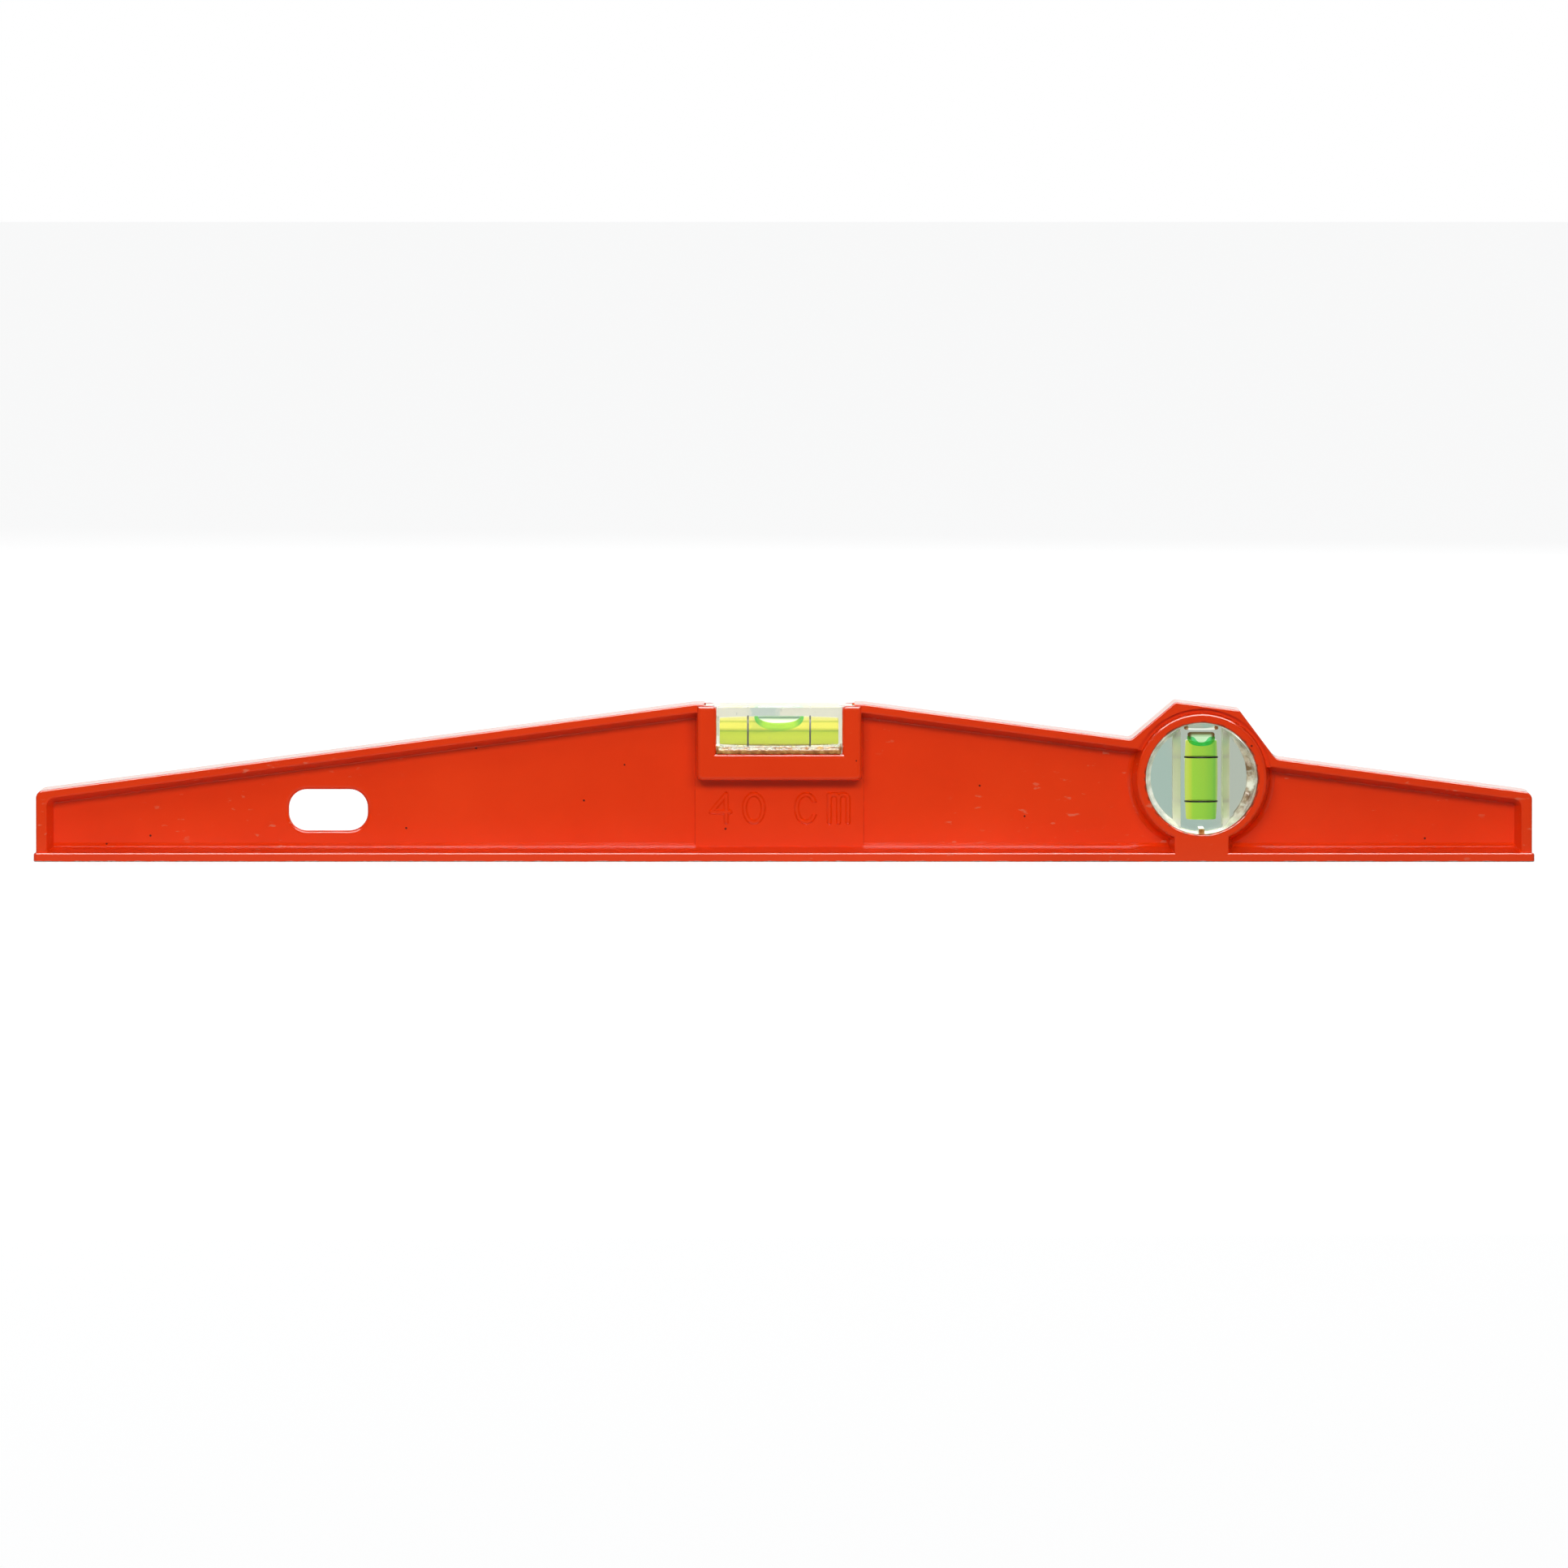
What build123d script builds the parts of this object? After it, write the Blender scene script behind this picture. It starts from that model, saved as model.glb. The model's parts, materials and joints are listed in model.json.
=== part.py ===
"""Cast spirit level, 400 mm, with a level vial on top and a plumb vial in a round boss.

The origin is under the middle of the measuring face: +X along the level, -Y towards the
front face, +Z up. All sizes are in millimetres.
"""
from build123d import *
from math import cos, hypot, radians, sqrt, tan
import os

os.makedirs("parts", exist_ok=True)

# Cast frame: an I-shaped beam, highest at the level vial
length = 400.0
base_half_depth = 10.0
rail_half_depth = 8.9
web_half_thickness = 1.5
base_height = 2.4
base_slope_height = 4.1
base_corner_r = 1.0
base_chamfer = 0.2
end_step = 0.6
end_wall = 2.8
rail_thickness = 2.3
top_slope = 7.55
peak_height = 42.05
peak_left = -23.7
peak_right = 21.1
pocket_draft = 12.0
pocket_bottom = 1.2
pocket_corner_r = 2.3
pocket_floor_round = 0.4
edge_round = 0.55
sharp = 0.05

# Hang slot through the web
slot_x = -121.7
slot_z = 13.4
slot_length = 21.0
slot_height = 11.0
slot_corner_r = 4.8
slot_round = 1.0

# Housing of the level vial
housing_x = -1.25
housing_width = 45.4
housing_bottom = 20.9
housing_top = 41.6
housing_draft = 5.5
housing_corner_r = 1.4
housing_round = 1.0
arm_round = 1.3
window_width = 33.6
window_bottom = 28.8
vial_bay_width = 40.1
vial_bay_half_depth = 7.0
panel_proud = 1.0

# Boss of the plumb vial
boss_x = 111.3
boss_z = 22.2
bore_r = 15.0
ring_r = 17.2
ring_foot_r = 18.6
land_inner_r = 18.6
land_groove_depth = 1.3
ring_lip_round = 0.7
ring_foot_round = 1.6
neck_width = 14.3
neck_draft = 10.0
bore_round = 0.35
boss_shoulder_left = (104.3, 42.62)
boss_shoulder_right = (121.35, 40.38)
boss_left_foot_x = 92.5
boss_right_foot_x = 131.0

# Raised length figure
figure_height = 9.3
figure_width = 6.9
figure_stroke = 1.9
figure_proud = 0.45
figure_bevel = 46.0
figure_bottom = 9.25
figure_places = {"four": -16.95, "nought": -8.05, "c": 5.85, "m": 14.6}
rooted = 0.2

# Level vial: a clear block with a barrel-shaped bore
vial_x = -1.33
vial_width = 32.6
vial_half_depth = 9.8
vial_shoulder_width = 39.8
vial_shoulder_half_depth = 6.9
vial_bottom = 29.6
vial_top = 41.55
level_axis_z = 34.6
level_cavity_length = 31.8
level_cavity_r = 4.3
level_barrel_r = 300.0
level_line_gap = 16.6
line_width = 0.45
line_depth = 0.08
line_inset = 0.02
level_bubble_length = 13.2
level_bubble_height = 3.5
level_plug_r = 3.95
bubble_gap = 0.2

# Plumb vial: a clear disc with the same kind of bore, upright
disc_r = 14.85
disc_half_depth = 9.6
disc_web_half_thickness = 4.0
rib_half_width = 5.6
rib_foot_half_width = 7.6
recess_mouth_r = 14.5
recess_floor_r = 13.5
plumb_cavity_bottom = 11.0
plumb_cavity_top = 34.5
plumb_cavity_r = 4.6
plumb_barrel_r = 160.0
plumb_line_gap = 11.8
plumb_line_z = 21.75
plumb_plug_r = 4.95
plumb_bubble_r = 3.7
plumb_bubble_height = 3.5
key_width = 1.5
key_height = 1.4
plumb_spigot_r = 4.0
plug_step = 0.4
plug_height = 1.9

film = 0.05

# Worked out from the sizes above
end_x = length / 2 - end_step
boss_axis = Axis((boss_x, 0, boss_z), (0, 1, 0))
boss_plane = Plane(origin=(boss_x, 0, boss_z))


def top_at(x):
    """Height of the sloping top of the rail at x."""
    run = max(peak_left - x, x - peak_right, 0)
    return peak_height - run * tan(radians(top_slope))


def under_rail(x):
    """Height of the underside of the rail at x, at its front edge."""
    return top_at(x) - rail_thickness / cos(radians(top_slope))


def pocket_tool(corners, radii):
    """Drafted pocket down to the web, as a tool that cuts from the front face."""
    with BuildPart() as tool:
        with BuildSketch(Plane.XZ.offset(rail_half_depth)):
            with BuildLine():
                FilletPolyline(*corners, radius=radii, close=True)
            make_face()
        extrude(amount=web_half_thickness - rail_half_depth, taper=pocket_draft)
        fillet(tool.faces().sort_by(Axis.Y)[-1].edges(), pocket_floor_round)
    return tool.part


# Front outline of the casting above its base band
with BuildSketch(Plane.XZ) as outline:
    with BuildLine():
        FilletPolyline(
            (-end_x, 0),
            (-end_x, top_at(-end_x)),
            (peak_left, peak_height),
            (peak_right, peak_height),
            (boss_left_foot_x, top_at(boss_left_foot_x)),
            boss_shoulder_left,
            boss_shoulder_right,
            (boss_right_foot_x, top_at(boss_right_foot_x)),
            (end_x, top_at(end_x)),
            (end_x, 0),
            radius=[2.1, 3.0, 3.0, 2.0, 1.5, 0.9, 3.0, 2.1],
        )
        Line((end_x, 0), (-end_x, 0))
    make_face()

# The rail, the end walls and the land of the boss, one slab with its outline rounded
with BuildPart() as slab:
    extrude(outline.sketch, amount=rail_half_depth, both=True)

    left_end = end_wall - end_x
    right_end = end_x - end_wall
    neck_left = boss_x - neck_width / 2
    neck_right = boss_x + neck_width / 2
    long_pocket = pocket_tool(
        [
            (left_end, pocket_bottom),
            (neck_left, pocket_bottom),
            (neck_left, under_rail(neck_left)),
            (peak_right, under_rail(peak_right)),
            (peak_left, under_rail(peak_left)),
            (left_end, under_rail(left_end)),
        ],
        pocket_corner_r,
    )
    short_pocket = pocket_tool(
        [
            (neck_right, pocket_bottom),
            (right_end, pocket_bottom),
            (right_end, under_rail(right_end)),
            (neck_right, under_rail(neck_right)),
        ],
        pocket_corner_r,
    )
    for pocket in (long_pocket, short_pocket):
        add(pocket, mode=Mode.SUBTRACT)
        add(pocket.mirror(Plane.XZ), mode=Mode.SUBTRACT)
    front_loops = slab.edges().filter_by(
        lambda edge: abs(abs(edge.center().Y) - rail_half_depth) < 0.01 and edge.center().Z > 0.1
    )
    fillet(front_loops, edge_round)

# Measuring base: a flat band with a slope that rises to the web on both sides
with BuildPart() as base:
    Box(
        length,
        2 * base_half_depth,
        base_height,
        align=(Align.CENTER, Align.CENTER, Align.MIN),
    )
    fillet(base.edges().filter_by(Axis.Z), base_corner_r)
    fillet(base.faces().sort_by(Axis.Z)[-1].edges(), edge_round)
    chamfer(base.faces().sort_by(Axis.Z)[0].edges(), base_chamfer)
    slope_start = rail_half_depth - 0.1
    slope_end = web_half_thickness + 0.9
    with BuildSketch(Plane.YZ):
        with BuildLine():
            FilletPolyline(
                (-slope_start, 0.5),
                (-slope_start, base_height),
                (-slope_end, base_slope_height - 0.4),
                (-web_half_thickness + 0.3, base_slope_height + 0.9),
                (web_half_thickness - 0.3, base_slope_height + 0.9),
                (slope_end, base_slope_height - 0.4),
                (slope_start, base_height),
                (slope_start, 0.5),
                radius=[sharp, 1.3, sharp, sharp, 1.3, sharp],
            )
            Line((slope_start, 0.5), (-slope_start, 0.5))
        make_face()
    extrude(amount=end_x - 1.0, both=True)

# Ring of the boss: proud of the land, its wall drafted to a soft foot on the web
with BuildPart() as ring:
    foot_y = web_half_thickness + 0.7
    with BuildSketch(boss_plane):
        with BuildLine():
            FilletPolyline(
                (0, base_half_depth),
                (ring_r, base_half_depth),
                (ring_foot_r, foot_y),
                (ring_foot_r + 1.6, web_half_thickness - 0.3),
                (ring_foot_r + 1.6, 0.3 - web_half_thickness),
                (ring_foot_r, -foot_y),
                (ring_r, -base_half_depth),
                (0, -base_half_depth),
                radius=[
                    ring_lip_round,
                    ring_foot_round,
                    sharp,
                    sharp,
                    ring_foot_round,
                    ring_lip_round,
                ],
            )
            Line((0, -base_half_depth), (0, base_half_depth))
        make_face()
    revolve(axis=boss_axis)
    extrude(outline.sketch, amount=base_half_depth, both=True, mode=Mode.INTERSECT)

# Neck that carries the ring on the base
with BuildPart() as neck:
    neck_top = boss_z - ring_r / 2
    with BuildSketch(Plane.XZ):
        with Locations((boss_x, 0)):
            Rectangle(
                neck_width + 2 * base_half_depth * tan(radians(neck_draft)),
                neck_top + 2 * base_half_depth * tan(radians(neck_draft)),
                align=(Align.CENTER, Align.MIN),
            )
    extrude(amount=base_half_depth, both=True, taper=neck_draft)
    split(bisect_by=Plane.XY.offset(base_height / 2), keep=Keep.TOP)
    split(bisect_by=Plane.XY.offset(neck_top), keep=Keep.BOTTOM)
    neck_corners = neck.edges().filter_by(
        lambda edge: abs(abs(edge.center().Y) - base_half_depth) < 0.01
        and abs(edge.center().X - boss_x) > neck_width / 2 - 0.1
    )
    fillet(neck_corners, edge_round)

# Housing of the level vial: a sill with two arms on each face
with BuildPart() as housing:
    housing_spread = base_half_depth * tan(radians(housing_draft))
    with BuildSketch(Plane.XZ) as housing_profile:
        with Locations((housing_x, housing_bottom)):
            Rectangle(housing_width, housing_top, align=(Align.CENTER, Align.MIN))
        fillet(housing_profile.vertices().group_by(Axis.Y)[0], housing_corner_r + housing_spread)
    extrude(amount=base_half_depth, both=True, taper=housing_draft)
    split(bisect_by=Plane.XY.offset(housing_top), keep=Keep.BOTTOM)
    with BuildSketch(Plane.XY.offset(window_bottom)):
        with Locations((housing_x, 0)):
            Rectangle(window_width, 3 * base_half_depth)
            Rectangle(vial_bay_width, 2 * vial_bay_half_depth)
    extrude(amount=housing_top, mode=Mode.SUBTRACT)
    arm_tops = housing.edges().filter_by(
        lambda edge: edge.center().Z > housing_top - 0.01
        and abs(edge.tangent_at(0.5).Y) > 0.9
        and abs(edge.center().Y) > vial_bay_half_depth
    )
    fillet(arm_tops, arm_round)
    front_edges = housing.edges().filter_by(
        lambda edge: abs(abs(edge.center().Y) - base_half_depth) < 0.01
    )
    fillet(front_edges, housing_round)


def run(*points):
    """Path of one stroke of the length figure, along straight runs."""
    with BuildLine() as path:
        Polyline(*points)
    return path.wire()


def arch(centre_x, centre_z, radius):
    """Path of one arch of the length figure."""
    with BuildLine() as path:
        CenterArc((centre_x, centre_z), radius, 0, 180)
    return path.wire()


# Raised length figure, plain round-ended strokes with sloped sides standing on the panel
half_w = (figure_width - figure_stroke) / 2
half_h = (figure_height - figure_stroke) / 2
arch_r = half_w / 2
figure_middle = figure_bottom + figure_height / 2
figure_root = web_half_thickness + panel_proud - rooted
figure_rise = figure_proud + rooted
bevel_run = figure_rise * tan(radians(figure_bevel))
figure_strokes = {
    "four": [
        run((1.5, half_h), (-half_w, -1.0)),
        run((-half_w, -1.0), (half_w, -1.0)),
        run((1.5, half_h), (1.5, -half_h)),
    ],
    "m": [
        run((-half_w, half_h), (-half_w, -half_h)),
        run((0, half_h - arch_r), (0, -half_h)),
        run((half_w, half_h - arch_r), (half_w, -half_h)),
        arch(-arch_r, half_h - arch_r, arch_r),
        arch(arch_r, half_h - arch_r, arch_r),
    ],
}
with BuildPart() as figure:
    for glyph in ("nought", "c"):
        for inset, growth, mode in ((0, -1, Mode.ADD), (figure_stroke, 1, Mode.SUBTRACT)):
            for rise, change in ((0, 0), (figure_rise, growth * bevel_run)):
                with BuildSketch(Plane.XZ.offset(figure_root + rise)):
                    with Locations((figure_places[glyph], figure_middle)):
                        Ellipse(
                            figure_width / 2 - inset + change,
                            figure_height / 2 - inset + change,
                        )
            loft(mode=mode)
    with BuildSketch(Plane.XZ.offset(figure_root)):
        with Locations((figure_places["c"] + figure_width / 2, figure_middle)):
            Rectangle(3 * figure_stroke, 1.7 * figure_stroke)
    extrude(amount=2 * figure_rise, both=True, mode=Mode.SUBTRACT)
    for glyph, strokes in figure_strokes.items():
        for path in strokes:
            with BuildSketch(Plane.XZ.offset(figure_root)):
                with Locations((figure_places[glyph], figure_middle)):
                    SlotArc(path, figure_stroke)
            extrude(amount=figure_rise, taper=figure_bevel)

with BuildPart() as frame:
    add(slab.part)
    with BuildSketch(Plane.XZ.offset(rail_half_depth), Plane.XZ.offset(-rail_half_depth)):
        with Locations((boss_x, boss_z)):
            Circle(land_inner_r)
    extrude(amount=land_groove_depth, both=True, mode=Mode.SUBTRACT)
    with BuildSketch(Plane.XY.offset(window_bottom)):
        with Locations((housing_x, 0)):
            Rectangle(vial_bay_width, 3 * base_half_depth)
    extrude(amount=housing_top, mode=Mode.SUBTRACT)
    add(base.part)
    add(ring.part)
    add(neck.part)
    add(housing.part)
    with BuildSketch(Plane.XZ):
        with Locations((housing_x, base_height)):
            Rectangle(housing_width, housing_bottom, align=(Align.CENTER, Align.MIN))
    extrude(amount=web_half_thickness + panel_proud, both=True, taper=housing_draft)
    add(figure.part)
    with BuildSketch(Plane.XZ):
        with Locations((boss_x, boss_z)):
            Circle(bore_r)
    extrude(amount=2 * base_half_depth, both=True, mode=Mode.SUBTRACT)
    with BuildSketch(Plane.XZ):
        with Locations((slot_x, slot_z)):
            RectangleRounded(slot_length, slot_height, slot_corner_r)
    extrude(amount=2 * base_half_depth, both=True, mode=Mode.SUBTRACT)
    slot_rim = frame.edges().filter_by(
        lambda edge: abs(abs(edge.center().Y) - web_half_thickness) < 0.01
        and hypot(edge.center().X - slot_x, edge.center().Z - slot_z) < slot_length / 2 + 0.1
    )
    fillet(slot_rim, slot_round)
    bore_rim = frame.edges().filter_by(
        lambda edge: edge.geom_type == GeomType.CIRCLE
        and abs(edge.radius - bore_r) < 0.01
        and abs(abs(edge.center().Y) - base_half_depth) < 0.01
    )
    fillet(bore_rim, bore_round)
frame.part.label = "frame"
export_step(frame.part, "parts/frame.step")


def barrel(plane, span, radius, curve_r):
    """Barrel-shaped solid along the plane's X axis, widest in its middle."""
    end_radius = radius - curve_r + sqrt(curve_r**2 - (span / 2) ** 2)
    with BuildPart() as body:
        with BuildSketch(plane):
            with BuildLine():
                ThreePointArc((-span / 2, end_radius), (0, radius), (span / 2, end_radius))
                Polyline((span / 2, end_radius), (span / 2, 0), (-span / 2, 0), (-span / 2, end_radius))
            make_face()
        revolve(axis=Axis(plane.origin, plane.x_dir))
    return body.part


def band(plane, at, outer_r, inner_r, width):
    """Thin hoop around the plane's X axis, centred at a distance along it."""
    with BuildPart() as hoop:
        with BuildSketch(plane):
            with Locations((at, (outer_r + inner_r) / 2)):
                Rectangle(width, outer_r - inner_r)
        revolve(axis=Axis(plane.origin, plane.x_dir))
    return hoop.part


def barrel_radius(at, radius, curve_r):
    """Radius of a barrel at a distance from its middle."""
    return radius - curve_r + sqrt(curve_r**2 - at**2)


# ---- Level vial ----
level_plane = Plane(origin=(vial_x, 0, level_axis_z), x_dir=(1, 0, 0), z_dir=(0, -1, 0))
level_cavity = barrel(level_plane, level_cavity_length, level_cavity_r, level_barrel_r)
cavity_left = vial_x - level_cavity_length / 2
block_left = vial_x - vial_shoulder_width / 2

with BuildPart() as level_vial_block:
    with BuildSketch(Plane.XY.offset(vial_bottom)):
        with Locations((vial_x, 0)):
            Rectangle(vial_width, 2 * vial_half_depth)
            Rectangle(vial_shoulder_width, 2 * vial_shoulder_half_depth)
    extrude(amount=vial_top - vial_bottom)
    chamfer(level_vial_block.faces().sort_by(Axis.Z)[-1].edges(), 0.4)
    lower_ends = level_vial_block.faces().sort_by(Axis.Z)[0].edges().filter_by(Axis.Y)
    chamfer(lower_ends.group_by(Axis.X)[0] + lower_ends.group_by(Axis.X)[-1], 0.8)
    add(level_cavity, mode=Mode.SUBTRACT)
    with BuildSketch(Plane.YZ.offset(block_left)):
        with Locations((0, level_axis_z)):
            Circle(level_plug_r + film)
    extrude(amount=cavity_left - block_left + 0.1, mode=Mode.SUBTRACT)
level_vial_block.part.label = "level_vial_block"
export_step(level_vial_block.part, "parts/level_vial_block.step")

with BuildPart() as level_vial_plug:
    with BuildSketch(Plane.YZ.offset(block_left + 0.3)):
        with Locations((0, level_axis_z)):
            Circle(level_plug_r)
    extrude(amount=cavity_left - block_left - 0.4)
    chamfer(level_vial_plug.faces().sort_by(Axis.X)[0].edges(), 0.4)
level_vial_plug.part.label = "level_vial_plug"
export_step(level_vial_plug.part, "parts/level_vial_plug.step")

level_line_r = barrel_radius(level_line_gap / 2, level_cavity_r, level_barrel_r) - line_inset
for name, side in (("level_line_left", -1), ("level_line_right", 1)):
    level_line = band(
        level_plane, side * level_line_gap / 2, level_line_r, level_line_r - line_depth, line_width
    )
    level_line.label = name
    export_step(level_line, f"parts/{name}.step")

# The bubble keeps clear of the barrel and of the lines along its whole travel
bubble_top = level_axis_z + level_cavity_r - bubble_gap
bubble_bottom = bubble_top - level_bubble_height
with BuildPart() as level_bubble:
    add(barrel(level_plane, level_cavity_length, level_cavity_r - bubble_gap, level_barrel_r))
    with BuildSketch(Plane.XZ):
        with BuildLine():
            shoulder_z = bubble_top - 1.0
            half_bubble = level_bubble_length / 2
            ThreePointArc(
                (vial_x - half_bubble, shoulder_z),
                (vial_x, bubble_bottom),
                (vial_x + half_bubble, shoulder_z),
            )
            Polyline(
                (vial_x + half_bubble, shoulder_z),
                (vial_x + half_bubble, bubble_top + 1),
                (vial_x - half_bubble, bubble_top + 1),
                (vial_x - half_bubble, shoulder_z),
            )
        make_face()
    extrude(amount=2 * level_cavity_r, both=True, mode=Mode.INTERSECT)
level_bubble.part.label = "level_bubble"
export_step(level_bubble.part, "parts/level_bubble.step")

# The fluid is cut open along the bubble's travel
with BuildPart() as level_vial_fluid:
    add(barrel(level_plane, level_cavity_length - 0.1, level_cavity_r - film, level_barrel_r))
    split(bisect_by=Plane.XY.offset(bubble_bottom - 0.7), keep=Keep.BOTTOM)
    for side in (-1, 1):
        groove = band(
            level_plane,
            side * level_line_gap / 2,
            level_cavity_r + 1,
            level_line_r - line_depth - film,
            line_width + 2 * film,
        )
        add(groove, mode=Mode.SUBTRACT)
level_vial_fluid.part.label = "level_vial_fluid"
export_step(level_vial_fluid.part, "parts/level_vial_fluid.step")

# Adhesive bed under the block, squeezed up into the gaps beside the window
with BuildPart() as level_vial_adhesive:
    with BuildSketch(Plane.XY.offset(window_bottom)):
        with Locations((vial_x, 0)):
            Rectangle(vial_width, 2 * vial_half_depth - 0.4)
            Rectangle(vial_shoulder_width, 2 * vial_shoulder_half_depth)
    extrude(amount=vial_bottom - window_bottom)
    gap_left = (housing_x - window_width / 2, vial_x - vial_width / 2)
    gap_right = (vial_x + vial_width / 2, housing_x + window_width / 2)
    for gap_start, gap_end in (gap_left, gap_right):
        for side in (-1, 1):
            gap_y = side * (vial_half_depth + vial_bay_half_depth) / 2
            with BuildSketch(Plane.XY.offset(window_bottom)):
                with Locations(((gap_start + gap_end) / 2, gap_y)):
                    Rectangle(gap_end - gap_start, vial_half_depth - vial_bay_half_depth - 0.4)
            extrude(amount=4.0)
level_vial_adhesive.part.label = "level_vial_adhesive"
export_step(level_vial_adhesive.part, "parts/level_vial_adhesive.step")

# ---- Plumb vial ----
plumb_middle = (plumb_cavity_top + plumb_cavity_bottom) / 2
plumb_span = plumb_cavity_top - plumb_cavity_bottom
plumb_plane = Plane(origin=(boss_x, 0, plumb_middle), x_dir=(0, 0, 1), z_dir=(0, -1, 0))
plug_seat = plumb_cavity_top + plug_step

with BuildPart() as plumb_vial_disc:
    with BuildSketch(Plane.XZ):
        with Locations((boss_x, boss_z)):
            Circle(disc_r)
    extrude(amount=disc_half_depth, both=True)
    for face_side in (-1, 1):
        for rib_side in (-1, 1):
            levels = (
                (disc_half_depth, rib_half_width, recess_mouth_r),
                (disc_web_half_thickness, rib_foot_half_width, recess_floor_r),
            )
            for depth, inner_x, outer_r in levels:
                level = Plane(
                    origin=(boss_x, face_side * depth, boss_z), x_dir=(1, 0, 0), z_dir=(0, -1, 0)
                )
                with BuildSketch(level):
                    rise = sqrt(outer_r**2 - inner_x**2)
                    with BuildLine():
                        Line((rib_side * inner_x, -rise), (rib_side * inner_x, rise))
                        ThreePointArc(
                            (rib_side * inner_x, rise), (rib_side * outer_r, 0), (rib_side * inner_x, -rise)
                        )
                    make_face()
            loft(mode=Mode.SUBTRACT)
    chamfer(
        plumb_vial_disc.edges().filter_by(
            lambda edge: edge.geom_type == GeomType.CIRCLE and abs(edge.radius - disc_r) < 0.01
        ),
        0.2,
    )
    add(barrel(plumb_plane, plumb_span, plumb_cavity_r, plumb_barrel_r), mode=Mode.SUBTRACT)
    with BuildSketch(Plane.XY.offset(plug_seat)):
        with Locations((boss_x, 0)):
            Circle(plumb_plug_r + film)
    extrude(amount=disc_r, mode=Mode.SUBTRACT)
    with BuildSketch(Plane.XY.offset(plumb_cavity_top - 0.1)):
        with Locations((boss_x, 0)):
            Circle(plumb_spigot_r + film)
    extrude(amount=disc_r, mode=Mode.SUBTRACT)
    with BuildSketch(Plane.XZ):
        with Locations((boss_x, boss_z - disc_r)):
            Rectangle(key_width, 2 * key_height)
    extrude(amount=2 * disc_half_depth, both=True, mode=Mode.SUBTRACT)
plumb_vial_disc.part.label = "plumb_vial_disc"
export_step(plumb_vial_disc.part, "parts/plumb_vial_disc.step")

with BuildPart() as plumb_vial_plug:
    with BuildSketch(Plane.XY.offset(plug_seat)):
        with Locations((boss_x, 0)):
            Circle(plumb_plug_r)
    extrude(amount=plug_height)
    with BuildSketch(Plane.XY.offset(plumb_cavity_top)):
        with Locations((boss_x, 0)):
            Circle(plumb_spigot_r)
    extrude(amount=plug_step)
    with BuildSketch(Plane.XZ):
        with Locations((boss_x, boss_z)):
            Circle(disc_r - film)
    extrude(amount=disc_half_depth, both=True, mode=Mode.INTERSECT)
plumb_vial_plug.part.label = "plumb_vial_plug"
export_step(plumb_vial_plug.part, "parts/plumb_vial_plug.step")

plumb_line_places = {
    "plumb_line_upper": plumb_line_z + plumb_line_gap / 2 - plumb_middle,
    "plumb_line_lower": plumb_line_z - plumb_line_gap / 2 - plumb_middle,
}
for name, at in plumb_line_places.items():
    line_r = barrel_radius(at, plumb_cavity_r, plumb_barrel_r) - line_inset
    plumb_line = band(plumb_plane, at, line_r, line_r - line_depth, line_width)
    plumb_line.label = name
    export_step(plumb_line, f"parts/{name}.step")

with BuildPart() as plumb_bubble:
    with BuildSketch(Plane.XY.offset(plumb_cavity_top - 0.3)):
        with Locations((boss_x, 0)):
            Circle(plumb_bubble_r)
    extrude(amount=-plumb_bubble_height)
    fillet(plumb_bubble.faces().sort_by(Axis.Z)[0].edges(), 2.2)
    fillet(plumb_bubble.faces().sort_by(Axis.Z)[-1].edges(), 0.5)
plumb_bubble.part.label = "plumb_bubble"
export_step(plumb_bubble.part, "parts/plumb_bubble.step")

with BuildPart() as plumb_vial_fluid:
    add(barrel(plumb_plane, plumb_span - 0.1, plumb_cavity_r - film, plumb_barrel_r))
    for at in plumb_line_places.values():
        line_r = barrel_radius(at, plumb_cavity_r, plumb_barrel_r) - line_inset
        groove = band(
            plumb_plane, at, plumb_cavity_r + 1, line_r - line_depth - film, line_width + 2 * film
        )
        add(groove, mode=Mode.SUBTRACT)
    with BuildSketch(Plane.XY.offset(plumb_cavity_bottom + 0.6)):
        with Locations((boss_x, 0)):
            Circle(plumb_bubble_r + 0.15)
    extrude(amount=plumb_span, mode=Mode.SUBTRACT)
plumb_vial_fluid.part.label = "plumb_vial_fluid"
export_step(plumb_vial_fluid.part, "parts/plumb_vial_fluid.step")

# Adhesive between disc and bore, and in the locating notch at the bottom
with BuildPart() as plumb_vial_adhesive:
    with BuildSketch(Plane.XZ):
        with Locations((boss_x, boss_z)):
            Circle(bore_r - 0.01)
            Circle(disc_r + 0.01, mode=Mode.SUBTRACT)
    extrude(amount=disc_half_depth - 2, both=True)
    with BuildSketch(Plane.XZ):
        with Locations((boss_x, boss_z - disc_r - 0.05)):
            Rectangle(key_width - 0.1, key_height, align=(Align.CENTER, Align.MIN))
    extrude(amount=disc_half_depth - 0.6, both=True)
plumb_vial_adhesive.part.label = "plumb_vial_adhesive"
export_step(plumb_vial_adhesive.part, "parts/plumb_vial_adhesive.step")
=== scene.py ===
"""Looks of the cast spirit level: paint, milled base, clear vials, fluid, bubbles and glue."""
import json
import math

import bmesh
import bpy
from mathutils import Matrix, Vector
from mathutils import noise as mathutils_noise


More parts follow.
